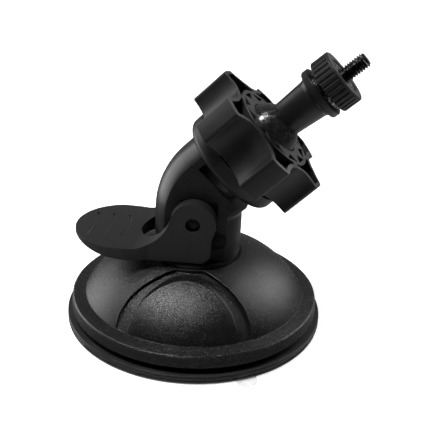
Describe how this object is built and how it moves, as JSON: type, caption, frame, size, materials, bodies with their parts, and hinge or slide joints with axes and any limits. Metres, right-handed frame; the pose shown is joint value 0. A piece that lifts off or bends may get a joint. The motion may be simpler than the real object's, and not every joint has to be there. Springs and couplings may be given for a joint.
{
  "type": "suction cup camera mount",
  "caption": "Suction cup mount for a small dash camera: domed base, locking lever, bent neck, lobed clamp knob, ball joint and a threaded stud with a lock nut.",
  "frame": {"origin": "centre of the sticking face, on the glass", "axes": "+Z away from the glass; X-Z is the mirror plane; the neck leans to +X and the lever's paddle points to -X"},
  "size_m": [0.074, 0.068, 0.0745],
  "materials": {
    "housing_plastic": "fine spark-eroded grain, satin",
    "neck_plastic": "satin moulded",
    "lever_plastic": "satin moulded",
    "knob_plastic": "satin moulded",
    "ball_plastic": "glossy, finely lined",
    "core_plastic": "moulded",
    "cup_rubber": "smooth soft plastic",
    "gel": "sticky gloss",
    "film": "clear film",
    "pin_metal": "blackened steel",
    "screw_metal": "black oxide steel",
    "spring_steel": "drawn wire"
  },
  "bodies": {
    "base": {"dome_housing": "housing_plastic", "neck": "neck_plastic", "anchor_pin": "pin_metal", "ball_seat": "core_plastic", "suction_cup": "cup_rubber", "gel_pad": "gel", "protective_film": "film", "return_spring": "spring_steel"},
    "pull_post": {"cup_core": "core_plastic", "lever_pin": "pin_metal"},
    "lever": {"lever": "lever_plastic"},
    "clamp_ring": {"clamp_ring": "knob_plastic"},
    "knob": {"clamp_knob": "knob_plastic"},
    "ball": {"ball": "ball_plastic"},
    "stem": {"stem": "neck_plastic"},
    "screw": {"camera_screw": "screw_metal"},
    "washer": {"camera_washer": "screw_metal"},
    "nut": {"lock_nut": "knob_plastic", "nut_insert": "screw_metal"}
  },
  "joints": [
    {"name": "cup_pull", "type": "slide", "parent": "base", "child": "pull_post", "axis": [0, 0, -1], "range_m": [0, 0.0016], "deforming": ["suction_cup", "gel_pad", "return_spring"]},
    {"name": "lever_turn", "type": "hinge", "parent": "pull_post", "child": "lever", "pos_m": [0.0002, 0, 0.0315], "axis": [0, 1, 0], "range_deg": [0, 75]},
    {"name": "ring_slide", "type": "slide", "parent": "base", "child": "clamp_ring", "axis": [0.7009, 0, 0.7133], "range_m": [0, 0.002]},
    {"name": "knob_turn", "type": "hinge", "parent": "clamp_ring", "child": "knob", "pos_m": [0, 0, 0.0358], "axis": [0.7009, 0, 0.7133], "range_deg": [0, 360]},
    {"name": "ball_tilt", "type": "hinge", "parent": "base", "child": "ball", "pos_m": [0.01675, 0, 0.05285], "axis": [0, 1, 0], "range_deg": [-21, 16]},
    {"name": "stem_tilt", "type": "hinge", "parent": "ball", "child": "stem", "pos_m": [0.01675, 0, 0.05285], "axis": [0.6782, 0, -0.7349], "range_deg": [-17, 17]},
    {"name": "screw_twist", "type": "hinge", "parent": "stem", "child": "screw", "pos_m": [0.01675, 0, 0.05285], "axis": [0.7349, 0, 0.6782], "continuous": true},
    {"name": "washer_slide", "type": "slide", "parent": "screw", "child": "washer", "axis": [0.7349, 0, 0.6782], "range_m": [0, 0.0021]},
    {"name": "nut_spin", "type": "hinge", "parent": "washer", "child": "nut", "pos_m": [0.01675, 0, 0.05285], "axis": [0.7349, 0, 0.6782], "range_deg": [0, 1080]}
  ],
  "couplings": [
    {"joint": "cup_pull", "follows": "lever_turn", "m_per_rad": 0.0012223},
    {"joint": "ring_slide", "follows": "knob_turn", "m_per_rad": 0.00031831},
    {"joint": "nut_spin", "follows": "washer_slide", "rad_per_m": 8976}
  ]
}
